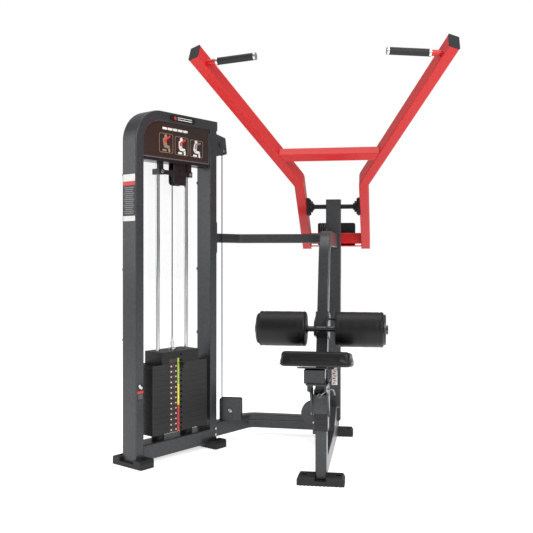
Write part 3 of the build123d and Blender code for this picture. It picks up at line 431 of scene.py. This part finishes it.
LABEL_BLOCKS = (("top", navy_print, ((1.4015, 0.005),)),
                ("pale", white_print, ((1.381, 0.034), (1.186, 0.024))),
                ("red", red_print, ((1.354, 0.018),)),
                ("dark", label_dark, ((1.272, 0.142),)))
for name, ink, blocks in LABEL_BLOCKS:
    sheets = [upright_label(z, high) for z, high in blocks]
    settle(join(f"upright_label_{name}", sheets), ink, "frame")
rows = [upright_label(1.334 - 0.0095 * i, 0.004, 0.072 - 0.009 * (i % 3), 0.0003) for i in range(14)]
settle(join("upright_label_rows", rows), grey_print, "frame")
SIDE_AT, SIDE_WIDE = 0.027, 0.036
side_dark = [tower_sheet(BEAM_FACE, SIDE_AT, z, SIDE_WIDE, high)
             for z, high in ((0.380, 0.036), (0.333, 0.034))]
settle(join("side_label_dark", side_dark), label_dark, "frame")
side_pale = [tower_sheet(BEAM_FACE + SKIN, 0.024, 0.383, 0.012, 0.020, 0.004, SKIN, 0.5)]
side_pale.append(tower_disc(BEAM_FACE + SKIN, 0.034, 0.376, 0.006))
settle(join("side_label_pale", side_pale), white_print, "frame")
side_red = tower_sheet(BEAM_FACE, SIDE_AT, 0.356, SIDE_WIDE, 0.012)
settle(join("side_label_red", [side_red]), red_print, "frame")
side_rows = [tower_sheet(BEAM_FACE + SKIN, SIDE_AT, 0.344 - 0.006 * i, 0.028, 0.002) for i in range(4)]
settle(join("side_label_rows", side_rows), grey_print, "frame")

# ---------------------------------------------------------------- seat cushion
# Black vinyl stretched over moulded foam on a flat board: sides that the foam
# pushes out, softly rounded corners, and a welt low round the side.
SEAT_TILT = math.radians(-8)
SEAT_AT = Vector((0.0, -0.311, 0.559))
SEAT_WIDE, SEAT_DEEP, SEAT_THICK = 0.296, 0.296, 0.064
CORNER_RADIUS, EDGE_RADIUS = 0.026, 0.009
FOAM_VOXEL, FILL_FRAMES, FILL_CAP, BOARD_HIGH = 0.006, 20, 0.005, 0.016


def seat_matrix():
    """The cushion's place: raised over the bracket and tilted up at its front."""
    return Matrix.Translation(SEAT_AT) @ Matrix.Rotation(SEAT_TILT, 4, "X")


def vinyl_material(name):
    """Upholstery vinyl: a pebbled grain of 2.4 mm cells with a finer grain of 1.2 mm over it."""
    material, shader, where = new_material(name)
    links = material.node_tree.links
    tone = add_node(material, "ShaderNodeTexNoise", {"Scale": 7.0, "Detail": 4.0}, {"Vector": where})
    links.new(colour_ramp(material, tone.outputs["Fac"], "#0A0A0A", "#101010"), shader.inputs["Base Color"])
    grain = add_node(material, "ShaderNodeTexVoronoi", {"Scale": 1000 / 2.4}, {"Vector": where})
    pores = add_node(material, "ShaderNodeTexNoise", {"Scale": 1000 / 1.2, "Detail": 3.0},
                     {"Vector": where})
    both = add_node(material, "ShaderNodeMath", {"operation": "ADD"},
                    {0: grain.outputs["Distance"], 1: pores.outputs["Fac"]})
    bump = add_node(material, "ShaderNodeBump", {"Strength": 0.35, "Distance": 0.0006},
                    {"Height": both.outputs["Value"]})
    links.new(bump.outputs["Normal"], shader.inputs["Normal"])
    shader.inputs["Roughness"].default_value = 0.40
    shader.inputs["Specular IOR Level"].default_value = 0.32
    return material


vinyl = vinyl_material("black_upholstery_vinyl")
bpy.ops.object.select_all(action="DESELECT")
bpy.ops.mesh.primitive_cube_add(size=1, location=(0, SEAT_DEEP / 2, SEAT_THICK / 2))
cushion = bpy.context.object
cushion.name = "seat_pad"
cushion.scale = (SEAT_WIDE - 0.006, SEAT_DEEP - 0.006, SEAT_THICK - 0.004)
bpy.ops.object.transform_apply(location=True, rotation=True, scale=True)
bpy.ops.object.mode_set(mode="EDIT")
bpy.ops.mesh.select_mode(type="EDGE")
bpy.ops.mesh.select_all(action="DESELECT")
bpy.ops.object.mode_set(mode="OBJECT")
for edge in cushion.data.edges:
    a, b = (cushion.data.vertices[i].co for i in edge.vertices)
    edge.select = abs(a.z - b.z) > SEAT_THICK / 2
bpy.ops.object.mode_set(mode="EDIT")
bpy.ops.mesh.bevel(offset=CORNER_RADIUS, segments=8)
bpy.ops.object.mode_set(mode="OBJECT")
round_top = cushion.modifiers.new("round", "BEVEL")
round_top.width = EDGE_RADIUS
round_top.segments = 4
bpy.ops.object.modifier_apply(modifier="round")
remesh = cushion.modifiers.new("remesh", "REMESH")
remesh.mode = "VOXEL"
remesh.voxel_size = FOAM_VOXEL
bpy.ops.object.modifier_apply(modifier="remesh")
rest = [v.co.copy() for v in cushion.data.vertices]
pinned = cushion.vertex_groups.new(name="board")
pinned.add([v.index for v in cushion.data.vertices if v.co.z < BOARD_HIGH], 1.0, "REPLACE")
cloth = cushion.modifiers.new("fill", "CLOTH")
cloth.settings.use_pressure = True
cloth.settings.uniform_pressure_force = 4.0
cloth.settings.effector_weights.gravity = 0.0
cloth.settings.vertex_group_mass = "board"
for step in range(1, FILL_FRAMES + 1):
    bpy.context.scene.frame_set(step)
only(cushion)
bpy.ops.object.modifier_apply(modifier="fill")
for vertex, start in zip(cushion.data.vertices, rest):
    move = vertex.co - start
    if move.length > FILL_CAP:
        vertex.co = start + move.normalized() * FILL_CAP
bpy.context.scene.frame_set(1)
smooth = cushion.modifiers.new("relax", "SMOOTH")
smooth.factor = 0.6
smooth.iterations = 3
only(cushion)
bpy.ops.object.modifier_apply(modifier="relax")
for vertex in cushion.data.vertices:
    vertex.co.z = min(max(vertex.co.z, 0.0), SEAT_THICK)
    vertex.co.x = min(max(vertex.co.x, -SEAT_WIDE / 2), SEAT_WIDE / 2)
    vertex.co.y = min(max(vertex.co.y, 0.0), SEAT_DEEP)
fine = cushion.modifiers.new("fine", "SUBSURF")
fine.levels = 1
fine.render_levels = 1
bpy.ops.object.modifier_apply(modifier="fine")
bpy.ops.object.shade_smooth()
cushion.matrix_world = seat_matrix()
settle(cushion, vinyl, "seat")
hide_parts("seat_cushion")


def corner_line(z, inset, radius, thick, name):
    """A thin welt that runs round the cushion at height z: a closed square with round corners."""
    half_x, half_y = SEAT_WIDE / 2 - inset, SEAT_DEEP / 2 - inset
    points = []
    for cx, cy, start in ((1, 1, 0), (-1, 1, 90), (-1, -1, 180), (1, -1, 270)):
        for step in range(7):
            angle = math.radians(start + 15 * step)
            points.append((cx * (half_x - radius) + radius * math.cos(angle),
                           SEAT_DEEP / 2 + cy * (half_y - radius) + radius * math.sin(angle), z))
    curve = bpy.data.curves.new(name, "CURVE")
    curve.dimensions = "3D"
    spline = curve.splines.new("POLY")
    spline.points.add(len(points) - 1)
    for point, place in zip(spline.points, points):
        point.co = (*place, 1.0)
    spline.use_cyclic_u = True
    curve.bevel_depth = thick
    curve.bevel_resolution = 3
    welt = bpy.data.objects.new(name, curve)
    bpy.context.collection.objects.link(welt)
    only(welt)
    bpy.ops.object.convert(target="MESH")
    bpy.ops.object.shade_smooth()
    welt.matrix_world = seat_matrix()
    return welt


welt = corner_line(0.012, 0.0015, 0.026, 0.0016, "seat_welt")
settle(welt, vinyl, "seat")

# ---------------------------------------------------------------- seat height scale
# A small pale vinyl strip stuck on the plate beside the seat bracket, with
# red and black marks in turn down its length.
scale_at = Vector((0.069, -0.1505, 0.496))


def flat_plate(name, centre, size, material, body):
    """A thin printed plate with slightly eased edges."""
    bpy.ops.object.select_all(action="DESELECT")
    bpy.ops.mesh.primitive_cube_add(size=1, location=centre)
    plate = bpy.context.object
    plate.name = name
    plate.scale = size
    edge = plate.modifiers.new("edge", "BEVEL")
    edge.width = min(size) * 0.3
    bpy.ops.object.transform_apply(location=True, rotation=True, scale=True)
    bpy.ops.object.modifier_apply(modifier="edge")
    return settle(plate, material, body)


flat_plate("seat_scale_face", scale_at, (0.024, SKIN, 0.064), white_print, "seat")
for i in range(6):
    mark_at = scale_at + Vector((0.002 * (-1) ** i, -SKIN, 0.025 - 0.010 * i))
    tone = red_print if i % 2 == 0 else black_print
    flat_plate(f"seat_scale_mark_{i}", mark_at, (0.012, SKIN, 0.004), tone, "seat")

# ---------------------------------------------------------------- thigh rollers
# Vinyl sleeves over foam tube: rounded shoulders, a shallow sewn ring near
# each end, and a moulded disc with a raised rim and a hub on the outer end.
ROLLER_Z, ROLLER_RADIUS, ROLLER_IN, ROLLER_OUT = 0.6836, 0.0775, 0.064, 0.274
SHAFT_RADIUS = 0.0127
SHOULDER, RIPPLE, SEAM_DEPTH = 0.011, 0.0003, 0.0012


def lathe(name, profile, side, steps=96):
    """Spins a profile of (distance out, radius) round the roller shaft."""
    mesh = bpy.data.meshes.new(name)
    points = [(side * x, 0.0, r) for x, r in profile]
    mesh.from_pydata(points, [(i, i + 1) for i in range(len(points) - 1)], [])
    piece = bpy.data.objects.new(name, mesh)
    bpy.context.collection.objects.link(piece)
    only(piece)
    bpy.ops.object.mode_set(mode="EDIT")
    bpy.ops.mesh.select_all(action="SELECT")
    bpy.ops.mesh.spin(steps=steps, angle=2 * math.pi, center=(0, 0, 0), axis=(1, 0, 0))
    bpy.ops.mesh.select_all(action="SELECT")
    bpy.ops.mesh.remove_doubles(threshold=0.00005)
    bpy.ops.mesh.normals_make_consistent(inside=False)
    bpy.ops.object.mode_set(mode="OBJECT")
    bpy.ops.object.shade_smooth_by_angle(angle=math.radians(40))
    piece.location = (0, 0, ROLLER_Z)
    return piece


def pad_profile():
    """Closed section of the foam sleeve, from the inner bore round both shoulders."""
    shoulder, turns, bands = SHOULDER, 8, 24
    angles = [math.pi / 2 * i / turns for i in range(turns + 1)]
    points = [(ROLLER_IN + 0.002, SHAFT_RADIUS), (ROLLER_IN, SHAFT_RADIUS + 0.010)]
    points += [(ROLLER_IN + shoulder * (1 - math.cos(a)), ROLLER_RADIUS - shoulder * (1 - math.sin(a)))
               for a in angles]
    for i in range(1, bands):
        share = i / bands
        crown = RIPPLE * math.sin(share * math.pi * 7) * math.sin(share * math.pi)
        seam = -SEAM_DEPTH if i in (1, bands - 1) else 0.0
        points.append((ROLLER_IN + shoulder + (ROLLER_OUT - ROLLER_IN - 2 * shoulder) * share,
                       ROLLER_RADIUS - 0.0008 + crown + seam))
    points += [(ROLLER_OUT - shoulder * (1 - math.sin(a)), ROLLER_RADIUS - shoulder * (1 - math.cos(a)))
               for a in angles]
    points += [(ROLLER_OUT, SHAFT_RADIUS + 0.010), (ROLLER_OUT - 0.002, SHAFT_RADIUS)]
    return points + points[:1]


DISC_IN, DISC_FLOOR, DISC_OUT = 0.2743, 0.2785, 0.2838
disc_profile = [(DISC_IN, SHAFT_RADIUS), (DISC_IN, 0.0650), (0.2765, 0.0672), (0.2820, 0.0655),
                (DISC_OUT, 0.0620), (0.2832, 0.0540), (0.2800, 0.0500), (DISC_FLOOR, 0.0420),
                (DISC_FLOOR, 0.0270), (0.2832, 0.0240), (DISC_OUT, 0.0200), (DISC_OUT, SHAFT_RADIUS),
                (DISC_IN, SHAFT_RADIUS)]
disc_plastic = moulded_material("moulded_grey_black_disc", "#2B2C2E", "#38393B", 0.36, 0.8, 0.0001)
for name, side in (("left", -1), ("right", 1)):
    pad = lathe(f"{name}_roller_pad", pad_profile(), side)
    settle(pad, vinyl, f"{name}_pad")
    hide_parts(f"{name}_roller")
    disc = lathe(f"{name}_roller_end_disc", disc_profile, side, 64)
    settle(disc, disc_plastic, f"{name}_pad")

# ---------------------------------------------------------------- crosshead and bright hub bolts
# A gloss black flat bar joins the rod clamps under the placard and is held by
# two zinc screws; zinc domes cap the visible pulley pivots and the rear bracket.


def round_bar(name, start, end, radius, material, body):
    """A turned bar between two points with a small chamfer at both ends."""
    run = Vector(end) - Vector(start)
    bpy.ops.object.select_all(action="DESELECT")
    bpy.ops.mesh.primitive_cylinder_add(vertices=32, radius=radius, depth=run.length)
    piece = bpy.context.object
    piece.name = name
    edge = piece.modifiers.new("edge", "BEVEL")
    edge.width = min(radius, run.length) * 0.22
    edge.segments = 3
    edge.limit_method = "ANGLE"
    bpy.ops.object.modifier_apply(modifier="edge")
    bpy.ops.object.shade_smooth_by_angle(angle=math.radians(40))
    piece.matrix_world = (Matrix.Translation((Vector(start) + Vector(end)) / 2)
                          @ run.to_track_quat("Z", "Y").to_matrix().to_4x4())
    return settle(piece, material, body)


clamp_bar = tower_sheet(0.020, 0.280, 1.424, 0.222, 0.022, 0.004, 0.008)
settle(join("crosshead_clamp_bar", [clamp_bar]), cast_coat, "frame")
CLAMP_Z, DOME_Z, DOME_FROM, DOME_TO = 1.425, 0.172, 0.6568, 0.6628
SCREWS = (("clamp_screw_left", tower_place(0.030, 0.183, CLAMP_Z), tower_place(0.037, 0.183, CLAMP_Z), 0.009),
          ("clamp_screw_right", tower_place(0.030, 0.377, CLAMP_Z), tower_place(0.037, 0.377, CLAMP_Z), 0.009),
          ("rear_bracket_screw", tower_place(0.0205, 0.640, 1.575), tower_place(0.0245, 0.640, 1.575), 0.006),
          ("left_box_dome", (-0.546, DOME_FROM, DOME_Z), (-0.546, DOME_TO, DOME_Z), 0.0085),
          ("right_hub_dome", (-0.099, DOME_FROM, DOME_Z), (-0.099, DOME_TO, DOME_Z), 0.0105))
for name, start, end, radius in SCREWS:
    round_bar(name, start, end, radius, zinc, "frame")

# ---------------------------------------------------------------- cables
# Nylon-coated steel cable of 5.6 mm with a smooth black jacket. The stretches
# over the stack and to the lever are tubes that follow the parts they join.
CABLE_RADIUS = 0.0028
jacket = moulded_material("black_nylon_cable_jacket", "#1B1B1C", "#262627", 0.38, 2.0, 0.0002)
paint(jacket, "cable_tower", "cable_floor")


def straight_cable(name, start, end, cuts):
    """A tube from start to end, cut into short lengths along its run."""
    run = end - start
    bpy.ops.object.select_all(action="DESELECT")
    bpy.ops.mesh.primitive_cylinder_add(vertices=16, radius=CABLE_RADIUS, depth=run.length)
    piece = bpy.context.object
    piece.name = name
    bpy.ops.object.mode_set(mode="EDIT")
    bpy.ops.mesh.select_mode(type="EDGE")
    bpy.ops.mesh.select_all(action="DESELECT")
    bpy.ops.object.mode_set(mode="OBJECT")
    for edge in piece.data.edges:
        a, b = (piece.data.vertices[i].co for i in edge.vertices)
        edge.select = abs(a.z - b.z) > 0.001
    bpy.ops.object.mode_set(mode="EDIT")
    bpy.ops.mesh.subdivide(number_cuts=cuts)
    bpy.ops.object.mode_set(mode="OBJECT")
    bpy.ops.object.shade_smooth_by_angle(angle=math.radians(40))
    piece.matrix_world = (Matrix.Translation((start + end) / 2)
                          @ run.to_track_quat("Z", "Y").to_matrix().to_4x4())
    only(piece)
    bpy.ops.object.transform_apply(location=True, rotation=True, scale=True)
    piece.data.materials.append(jacket)
    return piece


low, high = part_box("cable_stack")
middle = Vector(((low[0] + high[0]) / 2, (low[1] + high[1]) / 2, 0))
stack_cable = straight_cable("stack_cable", middle + Vector((0, 0, low[2])),
                             middle + Vector((0, 0, high[2])), 60)
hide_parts("cable_stack")
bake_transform(stack_cable)
low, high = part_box("cable_lever")
across, up = (low[0] + high[0]) / 2, (low[2] + high[2]) / 2
near, far = Vector((across, low[1], up)), Vector((across, high[1], up))
lever_cable = straight_cable("lever_cable", near, far, 40)
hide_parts("cable_lever")
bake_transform(lever_cable)

# ---------------------------------------------------------------- studio
# Plain white floor and surround with three soft boxes, the surround dimmer in
# reflections than in view, and a level camera in front, a little to the right.
bpy.ops.object.select_all(action="DESELECT")
bpy.ops.mesh.primitive_plane_add(size=60, location=(0, 0, 0))
floor = bpy.context.object
floor.name = "studio_floor"
floor_paper, floor_shader, floor_where = new_material("white_studio_paper")
floor_tone = add_node(floor_paper, "ShaderNodeTexNoise", {"Scale": 0.5}, {"Vector": floor_where})
floor_paper.node_tree.links.new(colour_ramp(floor_paper, floor_tone.outputs["Fac"], "#FAFAFA", "#FDFDFD"),
                                floor_shader.inputs["Base Color"])
floor_shader.inputs["Roughness"].default_value = 0.9
floor_shader.inputs["Emission Color"].default_value = (1, 1, 1, 1)
floor_shader.inputs["Emission Strength"].default_value = 0.66
floor.data.materials.append(floor_paper)
world = bpy.data.worlds.new("studio_white")
world.use_nodes = True
backdrop = world.node_tree.nodes["Background"]
backdrop.inputs["Color"].default_value = (1, 1, 1, 1)
seen = world.node_tree.nodes.new("ShaderNodeLightPath")
glow = world.node_tree.nodes.new("ShaderNodeMapRange")
glow.inputs["To Min"].default_value = 0.38
glow.inputs["To Max"].default_value = 1.0
world.node_tree.links.new(seen.outputs["Is Camera Ray"], glow.inputs["Value"])
world.node_tree.links.new(glow.outputs["Result"], backdrop.inputs["Strength"])
bpy.context.scene.world = world


def soft_box(name, place, aim, size, power):
    """A rectangular area light at a place, turned to its aim."""
    light = bpy.data.lights.new(name, "AREA")
    light.shape = "RECTANGLE"
    light.size = size[0]
    light.size_y = size[1]
    light.energy = power
    lamp = bpy.data.objects.new(name, light)
    bpy.context.collection.objects.link(lamp)
    lamp.location = place
    lamp.rotation_euler = (Vector(aim) - Vector(place)).to_track_quat("-Z", "Y").to_euler()


soft_box("key_box", (2.6, -3.2, 3.4), (-0.2, 0.4, 0.9), (2.4, 2.0), 135)
soft_box("top_box", (-0.3, 0.2, 4.2), (-0.3, 0.5, 0.8), (3.5, 3.0), 60)
soft_box("left_box", (-3.8, -1.0, 2.0), (-0.4, 0.5, 0.9), (1.6, 2.4), 30)

camera_data = bpy.data.cameras.new("catalogue_camera")
camera = bpy.data.objects.new("catalogue_camera", camera_data)
bpy.context.collection.objects.link(camera)
camera.location = (0.2692, -3.3147, 1.0)
camera.rotation_euler = (math.radians(90), 0, math.radians(8.8))
camera_data.sensor_width = 36
camera_data.lens = 50.7
camera_data.shift_y = -0.0171
bpy.context.scene.camera = camera
bpy.context.scene.view_settings.view_transform = "Standard"
